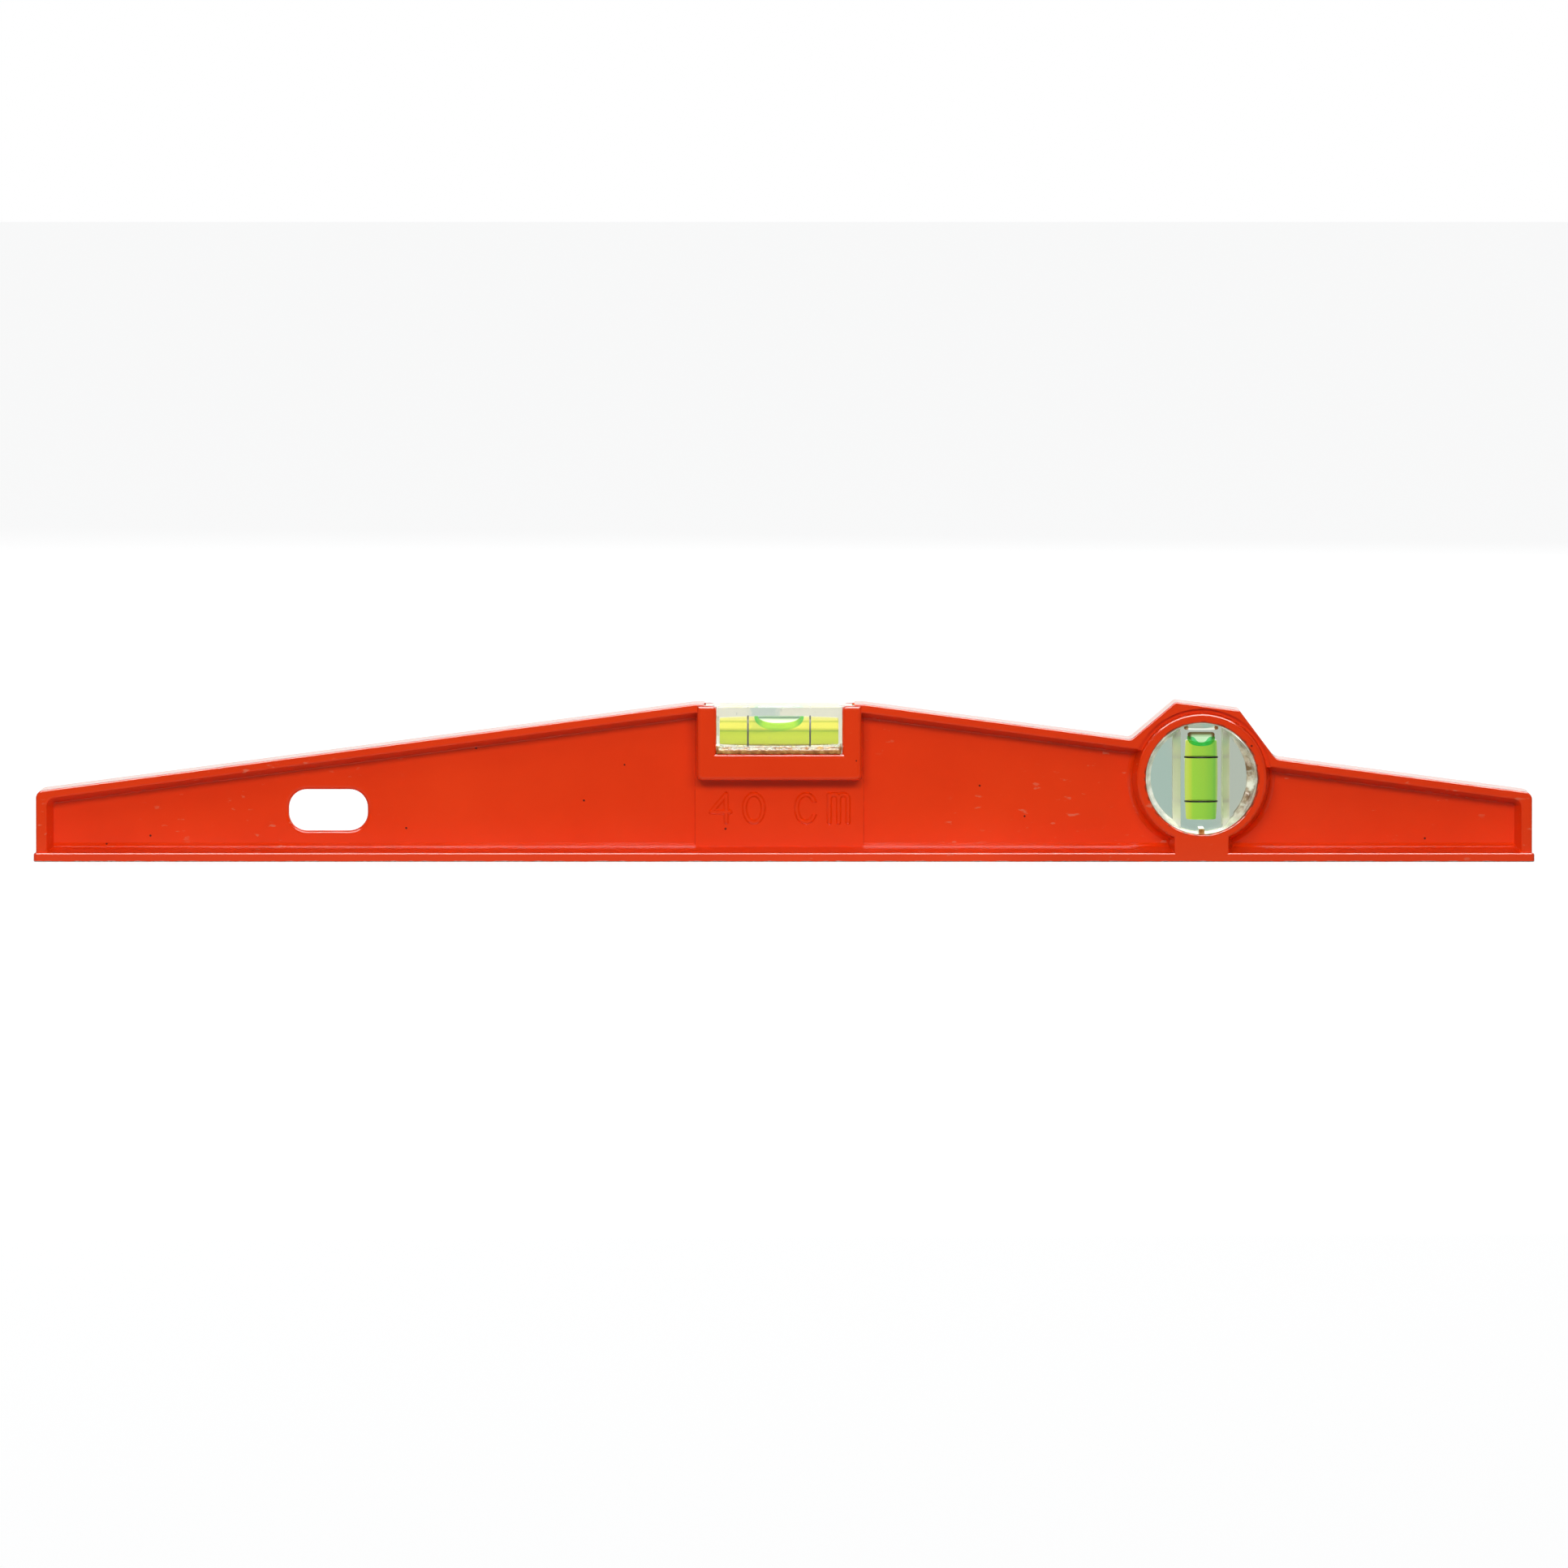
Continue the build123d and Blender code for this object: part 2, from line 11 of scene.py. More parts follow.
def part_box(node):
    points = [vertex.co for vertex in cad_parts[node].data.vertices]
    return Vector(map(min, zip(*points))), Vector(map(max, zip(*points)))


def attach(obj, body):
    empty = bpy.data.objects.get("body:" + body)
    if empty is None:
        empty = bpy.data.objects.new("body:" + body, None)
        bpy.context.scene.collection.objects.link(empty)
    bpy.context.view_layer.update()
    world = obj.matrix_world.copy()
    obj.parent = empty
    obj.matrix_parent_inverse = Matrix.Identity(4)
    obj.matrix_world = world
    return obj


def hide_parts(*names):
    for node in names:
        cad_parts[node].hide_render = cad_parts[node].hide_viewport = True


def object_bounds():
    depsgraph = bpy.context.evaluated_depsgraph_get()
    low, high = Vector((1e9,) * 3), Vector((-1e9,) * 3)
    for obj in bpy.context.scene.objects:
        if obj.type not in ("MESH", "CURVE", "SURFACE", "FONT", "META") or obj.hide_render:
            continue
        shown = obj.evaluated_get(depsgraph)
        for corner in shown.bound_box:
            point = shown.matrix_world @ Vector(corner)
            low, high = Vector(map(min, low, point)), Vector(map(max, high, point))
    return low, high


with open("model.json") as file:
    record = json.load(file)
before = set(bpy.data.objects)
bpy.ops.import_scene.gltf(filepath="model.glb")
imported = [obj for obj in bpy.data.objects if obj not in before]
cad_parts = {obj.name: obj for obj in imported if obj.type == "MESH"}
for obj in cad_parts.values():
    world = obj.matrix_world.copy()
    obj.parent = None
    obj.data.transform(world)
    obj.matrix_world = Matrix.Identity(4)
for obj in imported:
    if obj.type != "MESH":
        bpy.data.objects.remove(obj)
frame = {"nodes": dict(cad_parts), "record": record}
cad_low, cad_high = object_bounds()
nodes = frame["nodes"]
MM = 0.001
BODY = "level"


# ---- Small tools ----------------------------------------------------------------------------

def material(name):
    """A new node material, with its node tree and its Principled shader."""
    mat = bpy.data.materials.new(name)
    mat.use_nodes = True
    tree = mat.node_tree
    shader = tree.nodes["Principled BSDF"]
    return mat, tree, shader


def node(tree, kind, **inputs):
    """Adds a shader node and sets its sockets by name."""
    made = tree.nodes.new("ShaderNode" + kind)
    for key, value in inputs.items():
        made.inputs[key.replace("_", " ")].default_value = value
    return made


def link(tree, source, target):
    tree.links.new(source, target)


def object_place(tree):
    """Where a point lies on its object: the whole vector, and its x, y and z."""
    place = node(tree, "TexCoord").outputs["Object"]
    axes = node(tree, "SeparateXYZ")
    link(tree, place, axes.inputs[0])
    return place, axes.outputs


def ramp(tree, source, stops):
    """Colour ramp fed by a value; stops are (position, colour) pairs."""
    made = tree.nodes.new("ShaderNodeValToRGB")
    band = made.color_ramp
    while len(band.elements) < len(stops):
        band.elements.new(0.5)
    for element, (position, colour) in zip(band.elements, stops):
        element.position = position
        element.color = colour
    link(tree, source, made.inputs["Fac"])
    return made.outputs["Color"]


def set_material(obj, mat):
    """The piece shows this material on every slot."""
    if obj.material_slots:
        for slot in obj.material_slots:
            slot.material = mat
    else:
        obj.data.materials.append(mat)


# ---- Sizes read from the frame ----------------------------------------------------------------

disc_low, disc_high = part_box("plumb_vial_disc")
BOSS_X = (disc_low.x + disc_high.x) / 2
DISC_R = (disc_high.x - disc_low.x) / 2
BOSS_Z = disc_high.z - DISC_R
block_low, block_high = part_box("level_vial_block")
LEVEL_X = (block_low.x + block_high.x) / 2
line_left_low, line_left_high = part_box("level_line_left")
LEVEL_Z = (line_left_low.z + line_left_high.z) / 2
level_fluid_low, level_fluid_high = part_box("level_vial_fluid")
plumb_fluid_low, plumb_fluid_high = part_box("plumb_vial_fluid")
level_bubble_low, level_bubble_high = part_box("level_bubble")
plumb_bubble_low, plumb_bubble_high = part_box("plumb_bubble")


# ---- Materials ------------------------------------------------------------------------------

def math_node(tree, operation, first, second=None):
    """One arithmetic step; each side is a number or another node's output."""
    made = tree.nodes.new("ShaderNodeMath")
    made.operation = operation
    for index, value in enumerate((first, second)):
        if value is None:
            continue
        if isinstance(value, (int, float)):
            made.inputs[index].default_value = value
        else:
            link(tree, value, made.inputs[index])
    return made.outputs[0]


def mix_colour(tree, factor, first, second):
    made = tree.nodes.new("ShaderNodeMix")
    made.data_type = "RGBA"
    sides = ((made.inputs[0], factor), (made.inputs[6], first), (made.inputs[7], second))
    for socket, value in sides:
        if isinstance(value, (int, float, tuple)):
            socket.default_value = value
        else:
            link(tree, value, socket)
    return made.outputs[2]


def noise(tree, place, scale, detail=2.0, stretch=None):
    """Noise value over the piece; stretch scales the axes first."""
    made = node(tree, "TexNoise", Scale=scale, Detail=detail)
    if stretch:
        mapping = tree.nodes.new("ShaderNodeMapping")
        mapping.inputs["Scale"].default_value = stretch
        link(tree, place, mapping.inputs["Vector"])
        place = mapping.outputs[0]
    link(tree, place, made.inputs["Vector"])
    return made.outputs["Fac"]


def smooth_step(tree, value, low, high):
    made = tree.nodes.new("ShaderNodeMapRange")
    made.interpolation_type = "SMOOTHSTEP"
    made.inputs["From Min"].default_value = low
    made.inputs["From Max"].default_value = high
    link(tree, value, made.inputs["Value"])
    return made.outputs["Result"]


ACRYLIC_IOR = 1.49
FLUID_IOR = 0.995               # against the acrylic round it
AIR_IOR = 1.0
GRIME_REACH = 0.55 * MM         # how far the grime spreads past the disc
BARE_HEIGHT = 0.42 * MM         # the milled face shows up to here, less a ragged edge
RAGGED_EDGE = 0.45 * MM


def cast_paint():
    """Glossy red-orange paint over a casting, milled bare on the measuring face."""
    mat, tree, shader = material("cast_paint_gloss")
    place, (x, _, z) = object_place(tree)

    colour = ramp(
        tree,
        noise(tree, place, 30.0, 4.0),
        [(0.30, (0.740, 0.036, 0.0018, 1)), (0.70, (0.790, 0.044, 0.0030, 1))],
    )
    # Sparse dark pits in the paint
    pits = node(tree, "TexVoronoi", Scale=150.0)
    link(tree, place, pits.inputs["Vector"])
    picked = node(tree, "SeparateColor")
    link(tree, pits.outputs["Color"], picked.inputs[0])
    pit = math_node(
        tree,
        "MULTIPLY",
        math_node(tree, "LESS_THAN", pits.outputs["Distance"], 0.045),
        math_node(tree, "GREATER_THAN", picked.outputs[0], 0.60),
    )
    colour = mix_colour(tree, pit, colour, (0.10, 0.010, 0.004, 1))
    # Pale scuffs, short and mostly along the level
    rubbed = smooth_step(tree, noise(tree, place, 1.0, 6.0, (260.0, 500.0, 700.0)), 0.64, 0.72)
    where = smooth_step(tree, noise(tree, place, 18.0, 2.0), 0.50, 0.60)
    scuff = math_node(tree, "MULTIPLY", math_node(tree, "MULTIPLY", rubbed, where), 0.38)
    colour = mix_colour(tree, scuff, colour, (0.66, 0.26, 0.16, 1))
    # Brown grime where the disc meets the ring
    radius = math_node(
        tree,
        "SQRT",
        math_node(
            tree,
            "ADD",
            math_node(tree, "POWER", math_node(tree, "SUBTRACT", x, BOSS_X), 2.0),
            math_node(tree, "POWER", math_node(tree, "SUBTRACT", z, BOSS_Z), 2.0),
        ),
    )
    near_disc = math_node(tree, "LESS_THAN", radius, DISC_R + GRIME_REACH)
    patches = smooth_step(tree, noise(tree, place, 420.0, 3.0), 0.50, 0.62)
    grime = math_node(tree, "MULTIPLY", near_disc, patches)
    stain = math_node(tree, "MULTIPLY", grime, 0.6)
    colour = mix_colour(tree, stain, colour, (0.09, 0.030, 0.012, 1))
    # Bare metal underneath, with a ragged edge of paint
    ragged = math_node(
        tree, "MULTIPLY", noise(tree, place, 1.0, 3.0, (330.0, 60.0, 60.0)), RAGGED_EDGE
    )
    bare = math_node(tree, "LESS_THAN", math_node(tree, "ADD", z, ragged), BARE_HEIGHT)
    metal = ramp(
        tree,
        noise(tree, place, 1.0, 2.0, (900.0, 12.0, 12.0)),
        [(0.35, (0.52, 0.52, 0.53, 1)), (0.65, (0.78, 0.78, 0.79, 1))],
    )
    link(tree, mix_colour(tree, bare, colour, metal), shader.inputs["Base Color"])
    link(tree, bare, shader.inputs["Metallic"])
    gloss = math_node(tree, "MULTIPLY_ADD", noise(tree, place, 60.0, 3.0), 0.10)
    gloss.node.inputs[2].default_value = 0.07
    rough = tree.nodes.new("ShaderNodeMix")
    link(tree, bare, rough.inputs[0])
    link(tree, gloss, rough.inputs[2])
    rough.inputs[3].default_value = 0.38
    link(tree, rough.outputs[0], shader.inputs["Roughness"])
    # Orange peel, the casting's slow waviness, and feed marks on the milled face
    swell = node(tree, "Bump", Strength=1.0, Distance=0.00045)
    link(tree, noise(tree, place, 22.0, 1.0), swell.inputs["Height"])
    peel = node(tree, "Bump", Strength=1.0, Distance=0.000012)
    link(tree, noise(tree, place, 520.0, 2.0), peel.inputs["Height"])
    link(tree, swell.outputs["Normal"], peel.inputs["Normal"])
    marks = node(tree, "Bump", Distance=0.00003)
    link(tree, bare, marks.inputs["Strength"])
    link(tree, noise(tree, place, 1.0, 1.0, (1500.0, 20.0, 20.0)), marks.inputs["Height"])
    link(tree, peel.outputs["Normal"], marks.inputs["Normal"])
    link(tree, marks.outputs["Normal"], shader.inputs["Normal"])
    return mat


def clear_plastic(name, tint, roughness=0.02, milky=0.0, handled=0.0, haze_below=None):
    """Clear moulded plastic with handling marks, and a scratched haze up to a height."""
    mat, tree, shader = material(name)
    place, axes = object_place(tree)
    marks = smooth_step(tree, noise(tree, place, 1.0, 5.0, (900.0, 300.0, 500.0)), 0.66, 0.70)
    haze = math_node(tree, "MULTIPLY", marks, handled)
    if haze_below:
        low, high = haze_below
        near = smooth_step(tree, axes[2], high, low)
        strokes = smooth_step(tree, noise(tree, place, 1.0, 6.0, (620.0, 300.0, 1100.0)), 0.42, 0.66)
        haze = math_node(tree, "MAXIMUM", haze, math_node(tree, "MULTIPLY", near, strokes))
    cloud = math_node(tree, "MAXIMUM", haze, milky)
    link(tree, mix_colour(tree, cloud, tint, (0.80, 0.79, 0.66, 1)), shader.inputs["Base Color"])
    link(tree, math_node(tree, "SUBTRACT", 1.0, cloud), shader.inputs["Transmission Weight"])
    rough = math_node(tree, "MULTIPLY_ADD", haze, 0.4)
    rough.node.inputs[2].default_value = roughness
    link(tree, rough, shader.inputs["Roughness"])
    shader.inputs["IOR"].default_value = ACRYLIC_IOR
    # Painted glow: the milkier the plastic, the more light it gives off of its own
    shader.inputs["Emission Color"].default_value = (0.72, 0.76, 0.68, 1)
    shader.inputs["Emission Strength"].default_value = 0.08 * milky
    bump = node(tree, "Bump", Strength=1.0, Distance=0.00001)
    link(tree, noise(tree, place, 300.0, 2.0), bump.inputs["Height"])
    link(tree, bump.outputs["Normal"], shader.inputs["Normal"])
    return mat


def disc_rim():
    """The disc's sloped walls: pale and cloudy, with brown dirt down the right side, and a painted
    glow.
    """
    mat, tree, shader = material("vial_acrylic_rim")
    place, axes = object_place(tree)
    streaks = noise(tree, place, 1.0, 4.0, (220.0, 60.0, 380.0))
    pale = ramp(
        tree,
        streaks,
        [(0.35, (0.42, 0.46, 0.38, 1)), (0.50, (0.62, 0.63, 0.52, 1)), (0.65, (0.86, 0.86, 0.76, 1))],
    )
    right = smooth_step(tree, axes[0], BOSS_X + 0.45 * DISC_R, BOSS_X + 0.85 * DISC_R)
    dirt = smooth_step(tree, noise(tree, place, 1.0, 5.0, (300.0, 300.0, 300.0)), 0.44, 0.60)
    brown = mix_colour(tree, dirt, (0.56, 0.46, 0.35, 1), (0.20, 0.11, 0.055, 1))
    worn = math_node(tree, "MULTIPLY", right, smooth_step(tree, streaks, 0.62, 0.46))
    colour = mix_colour(tree, worn, pale, brown)
    link(tree, colour, shader.inputs["Base Color"])
    # Painted glow: the walls give off light in their own colour, standing in for the light they lack
    # where they face inward
    link(tree, colour, shader.inputs["Emission Color"])
    shader.inputs["Emission Strength"].default_value = 0.20
    shader.inputs["Roughness"].default_value = 0.25
    shader.inputs["IOR"].default_value = ACRYLIC_IOR
    shader.inputs["Transmission Weight"].default_value = 0.35
    return mat


def vial_fluid(name, axis, stops, glow):
    """Fluorescent fluid with a painted glow of its own.

    Its colour changes in bands across the barrel, fixed to the fluid: painted highlights and
    painted shade, which stand for what refraction shows from the front.
    """
    mat, tree, shader = material(name)
    _, axes = object_place(tree)
    low = level_fluid_low.z if axis == 2 else plumb_fluid_low.x
    high = 2 * LEVEL_Z - low if axis == 2 else plumb_fluid_high.x
    across = tree.nodes.new("ShaderNodeMapRange")
    across.inputs["From Min"].default_value = low
    across.inputs["From Max"].default_value = high
    link(tree, axes[axis], across.inputs["Value"])
    colour = ramp(tree, across.outputs["Result"], stops)
    link(tree, colour, shader.inputs["Base Color"])
    # Painted glow: the fluid gives off light in its own colour
    link(tree, colour, shader.inputs["Emission Color"])
    shader.inputs["Emission Strength"].default_value = glow
    shader.inputs["Roughness"].default_value = 0.0
    shader.inputs["IOR"].default_value = FLUID_IOR
    shader.inputs["Transmission Weight"].default_value = 1.0
    return mat


def tinted_clear(name, tint, ior, glow=0.0, roughness=0.0):
    """Even clear material, for the bubbles and the plugs inside the acrylic."""
    mat, _, shader = material(name)
    shader.inputs["Base Color"].default_value = tint
    shader.inputs["Emission Color"].default_value = tint
    shader.inputs["Emission Strength"].default_value = glow
    shader.inputs["Roughness"].default_value = roughness
    shader.inputs["IOR"].default_value = ior
    shader.inputs["Transmission Weight"].default_value = 1.0
    return mat


def line_ink():
    mat, tree, shader = material("line_ink")
    place = node(tree, "TexCoord").outputs["Object"]
    colour = ramp(
        tree,
        noise(tree, place, 900.0),
        [(0.3, (0.002, 0.005, 0.002, 1)), (0.7, (0.006, 0.014, 0.005, 1))],
    )
    link(tree, colour, shader.inputs["Base Color"])
    shader.inputs["Roughness"].default_value = 0.4
    return mat


def glue_amber():
    """Amber adhesive, half clear, lumpy."""
    mat, tree, shader = material("glue_amber")
    place = node(tree, "TexCoord").outputs["Object"]
    lumps = noise(tree, place, 700.0, 3.0)
    colour = ramp(
        tree,
        lumps,
        [(0.36, (0.28, 0.09, 0.012, 1)), (0.52, (0.46, 0.17, 0.03, 1)), (0.68, (0.62, 0.36, 0.10, 1))],
    )
    link(tree, colour, shader.inputs["Base Color"])
    shader.inputs["Roughness"].default_value = 0.38
    shader.inputs["Transmission Weight"].default_value = 0.15
    bump = node(tree, "Bump", Strength=1.0, Distance=0.00012)
    link(tree, lumps, bump.inputs["Height"])
    link(tree, bump.outputs["Normal"], shader.inputs["Normal"])
    return mat


PAINT = cast_paint()
ACRYLIC = clear_plastic("vial_acrylic", (0.97, 0.985, 0.98, 1))
SCUFFED = clear_plastic(
    "vial_acrylic_scuffed",
    (0.98, 0.98, 0.96, 1),
    milky=0.08,
    handled=0.25,
    haze_below=(block_low.z + 0.65 * MM, block_low.z + 1.15 * MM),
)
# Painted shade: a rougher, darker grey-green copy of the acrylic, with a faint painted glow, for the
# block's slanted faces
SHADED_EDGE = tinted_clear("vial_acrylic_edge_painted_shade", (0.50, 0.56, 0.50, 1), ACRYLIC_IOR, 0.05, 0.2)
FROSTED = clear_plastic("vial_acrylic_frosted", (0.90, 0.93, 0.88, 1), 0.25, 0.65)
RIM = disc_rim()
# Painted highlight and shade in bands by height: dark low down, a dark line mid-way, pale at the top
LEVEL_FLUID = vial_fluid(
    "level_fluid_painted_bands",
    2,
    [
        (0.00, (0.20, 0.16, 0.010, 1)),
        (0.07, (0.28, 0.24, 0.015, 1)),
        (0.10, (0.50, 0.58, 0.035, 1)),
        (0.32, (0.55, 0.64, 0.035, 1)),
        (0.48, (0.48, 0.60, 0.022, 1)),
        (0.51, (0.24, 0.41, 0.014, 1)),
        (0.54, (0.60, 0.62, 0.050, 1)),
        (0.60, (0.83, 0.81, 0.120, 1)),
        (0.76, (0.85, 0.82, 0.135, 1)),
        (0.80, (0.53, 0.60, 0.060, 1)),
        (0.84, (0.84, 0.81, 0.190, 1)),
        (1.00, (0.76, 0.73, 0.420, 1)),
    ],
    0.20,
)
# Painted highlight and shade in bands across the barrel: pale at the left edge, darker towards the
# right
PLUMB_FLUID = vial_fluid(
    "plumb_fluid_painted_bands",
    0,
    [
        (0.00, (0.60, 0.70, 0.25, 1)),
        (0.06, (0.80, 0.84, 0.18, 1)),
        (0.18, (0.72, 0.80, 0.10, 1)),
        (0.26, (0.50, 0.78, 0.09, 1)),
        (0.60, (0.44, 0.73, 0.09, 1)),
        (0.82, (0.34, 0.67, 0.09, 1)),
        (0.90, (0.26, 0.60, 0.10, 1)),
        (0.96, (0.48, 0.66, 0.18, 1)),
        (1.00, (0.55, 0.66, 0.34, 1)),
    ],
    0.16,
)
LINE = line_ink()
GLUE = glue_amber()


def bubble_air(name, low, high, stops, side_from=None):
    """Air seen through the wall: pale, with painted shade at its top and, when given, its sides, set
    by position, and a painted glow.
    """
    mat, tree, shader = material(name)
    _, axes = object_place(tree)
    up = tree.nodes.new("ShaderNodeMapRange")
    up.inputs["From Min"].default_value = low
    up.inputs["From Max"].default_value = high
    link(tree, axes[2], up.inputs["Value"])
    colour = ramp(tree, up.outputs["Result"], stops)
    if side_from:
        centre, near, far = side_from
        out = math_node(tree, "ABSOLUTE", math_node(tree, "SUBTRACT", axes[0], centre))
        # Painted shade: brown towards the bubble's sides
        colour = mix_colour(tree, smooth_step(tree, out, near, far), colour, (0.16, 0.085, 0.03, 1))
    link(tree, colour, shader.inputs["Base Color"])
    link(tree, colour, shader.inputs["Emission Color"])
    # Painted glow in the air's own colour
    shader.inputs["Emission Strength"].default_value = 0.42
    shader.inputs["Roughness"].default_value = 0.05
    shader.inputs["IOR"].default_value = AIR_IOR
    shader.inputs["Transmission Weight"].default_value = 0.45
    return mat


def bubble_meniscus(name, centre, half, middle_colour, end_colour):
    """Fluid curled up round the bubble, deeper green towards its ends as painted shade, with a painted
    glow.
    """
    mat, tree, shader = material(name)
    _, axes = object_place(tree)
    out = math_node(tree, "ABSOLUTE", math_node(tree, "SUBTRACT", axes[0], centre))
    # Painted shade: deeper green towards the bubble's ends
    towards_end = smooth_step(tree, out, half * 0.55, half * 0.98)
    colour = mix_colour(tree, towards_end, middle_colour, end_colour)
    link(tree, colour, shader.inputs["Base Color"])
    link(tree, colour, shader.inputs["Emission Color"])
    # Painted glow in the meniscus colour
    shader.inputs["Emission Strength"].default_value = 0.20
    shader.inputs["Roughness"].default_value = 0.0
    shader.inputs["IOR"].default_value = AIR_IOR
    shader.inputs["Transmission Weight"].default_value = 0.85
    return mat


PLUG_IOR = 1.05
PLUG = tinted_clear("plug_clear", (0.86, 0.89, 0.82, 1), PLUG_IOR)
# Brown towards the plug's two sides, with a faint painted glow
BROWN = tinted_clear("plug_sides_brown", (0.20, 0.085, 0.025, 1), PLUG_IOR, 0.12)
LEVEL_MENISCUS = bubble_meniscus(
    "level_bubble_meniscus",
    (level_bubble_low.x + level_bubble_high.x) / 2,
    (level_bubble_high.x - level_bubble_low.x) / 2,
    (0.36, 0.66, 0.07, 1),
    (0.06, 0.46, 0.10, 1),
)
# Painted highlight and shade by height: pale low down, dark near the top
LEVEL_AIR = bubble_air(
    "level_bubble_air",
    level_bubble_low.z + 1.5 * MM,
    level_bubble_high.z,
    [
        (0.00, (0.60, 0.78, 0.42, 1)),
        (0.18, (0.84, 0.90, 0.72, 1)),
        (0.30, (0.84, 0.88, 0.76, 1)),
        (0.48, (0.56, 0.62, 0.52, 1)),
        (0.62, (0.34, 0.40, 0.35, 1)),
        (0.72, (0.10, 0.16, 0.13, 1)),
        (0.88, (0.14, 0.22, 0.17, 1)),
        (1.00, (0.50, 0.58, 0.50, 1)),
    ],
)
PLUMB_MENISCUS = bubble_meniscus(
    "plumb_bubble_meniscus",
    BOSS_X,
    (plumb_bubble_high.x - plumb_bubble_low.x) / 2,
    (0.04, 0.50, 0.15, 1),
    (0.10, 0.42, 0.05, 1),
)
# Painted highlight and shade by height, pale in the middle and dark near the top, with painted brown
# shade at the sides
PLUMB_AIR = bubble_air(
    "plumb_bubble_air",
    plumb_bubble_low.z + 1.0 * MM,
    plumb_bubble_high.z,
    [
        (0.00, (0.50, 0.66, 0.42, 1)),
        (0.20, (0.72, 0.80, 0.62, 1)),
        (0.55, (0.80, 0.84, 0.68, 1)),
        (0.78, (0.52, 0.58, 0.36, 1)),
        (0.90, (0.10, 0.10, 0.04, 1)),
        (1.00, (0.22, 0.18, 0.08, 1)),
    ],
    (BOSS_X, 2.35 * MM, 3.1 * MM),
)

LOOK = {
    "cast_paint": PAINT,
    "clear_acrylic": ACRYLIC,
    "clear_plug": PLUG,
    "vial_fluid": LEVEL_FLUID,
    "air_bubble": LEVEL_AIR,
    "black_line": LINE,
    "adhesive": GLUE,
}
for part in frame["record"]["subparts"]:
    set_material(nodes[part["node"]], LOOK[part["material_slot"]])


# ---- Pieces made here ---------------------------------------------------------------------------

def finish_piece(name, mesh_maker, materials, body, replaced):
    """Turns a bmesh into a piece that rides on its body and stands for a CAD node."""
    mesh = bpy.data.meshes.new(name)
    mesh_maker.to_mesh(mesh)
    mesh_maker.free()
    piece = bpy.data.objects.new(name, mesh)
    bpy.context.scene.collection.objects.link(piece)
    for mat in materials:
        mesh.materials.append(mat)
    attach(piece, body)
    if replaced:
        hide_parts(replaced)
    return piece


def lathe(profile, centre, axis, segments=96):
    """Solid of revolution: profile holds (distance along the axis, radius) from end to end."""
    maker = bmesh.new()
    along = Vector((1, 0, 0)) if axis == "X" else Vector((0, 0, 1))
    side = Vector((0, 1, 0))
    other = along.cross(side)
    rings = []
    for at, radius in profile:
        ring = []
        for step in range(segments):
            angle = 2 * math.pi * step / segments
            offset = side * math.cos(angle) + other * math.sin(angle)
            ring.append(maker.verts.new(centre + along * at + offset * radius))
        rings.append(ring)
    for first, second in zip(rings, rings[1:]):
        for step in range(segments):
            after = (step + 1) % segments
            face = maker.faces.new((first[step], first[after], second[after], second[step]))
            face.smooth = True
    maker.faces.new(rings[0][::-1])
    maker.faces.new(rings[-1])
    bmesh.ops.recalc_face_normals(maker, faces=maker.faces)
    return maker


def without_bore(cad_node, axis_point, axis, reach):
    """A clear body's outside: the CAD mesh with its inner bore taken out and the mouth closed."""
    maker = bmesh.new()
    maker.from_mesh(nodes[cad_node].data)
    bmesh.ops.remove_doubles(maker, verts=maker.verts, dist=1e-6)
    others = [index for index in range(3) if index != axis]

    def inside(vert):
        return math.hypot(*(vert.co[index] - axis_point[index] for index in others)) < reach

    bore = [face for face in maker.faces if all(inside(vert) for vert in face.verts)]
    bmesh.ops.delete(maker, geom=bore, context="FACES")
    loose = [vert for vert in maker.verts if not vert.link_faces]
    bmesh.ops.delete(maker, geom=loose, context="VERTS")
    bmesh.ops.holes_fill(maker, edges=[edge for edge in maker.edges if edge.is_boundary], sides=0)
    bmesh.ops.recalc_face_normals(maker, faces=maker.faces)
    for face in maker.faces:
        face.smooth = False
    return maker


def barrel_profile(half_length, radius, curve, end_round=0.35 * MM, steps=24):
    """Profile of a barrel with softened ends, from one end to the other."""
    def wall(at):
        return radius - curve + math.sqrt(curve**2 - at**2)

    profile = []
    for step in range(5):
        angle = math.pi / 2 * step / 4
        at = -half_length + end_round * (1 - math.cos(angle))
        profile.append((at, wall(half_length) - end_round * (1 - math.sin(angle))))
    inner = half_length - end_round
    for step in range(1, steps):
        at = -inner + 2 * inner * step / steps
        profile.append((at, wall(at)))
    profile += [(-at, wall_radius) for at, wall_radius in profile[4::-1]]
    return profile


LEVEL_R = (line_left_high.z - line_left_low.z) / 2
LINE_OFFSET = LEVEL_X - (line_left_low.x + line_left_high.x) / 2
LEVEL_CURVE = 0.300
PLUMB_CURVE = 0.160
# The level bubble turns under the hoops, so it and the fluid stay further in from the wall
LEVEL_FLUID_INSET = 0.30 * MM
LEVEL_AIR_INSET = 0.24 * MM
LEVEL_MENISCUS_INSET = 0.28 * MM
PLUMB_FLUID_INSET = 0.16 * MM
PLUMB_TOP_GAP = 1.3 * MM        # the plumb fluid stops short of the top, where the bubble rests
BORE_MARGIN = 0.05 * MM
PLUMB_BORE_REACH = 5.06 * MM    # takes in the bore and its wider mouth
LINE_INSET = 0.02 * MM
# Radius of the level barrel at its middle, from the hoop that sits on its wall
LEVEL_MID_R = LEVEL_R + LINE_INSET + LINE_OFFSET**2 / (2 * LEVEL_CURVE)

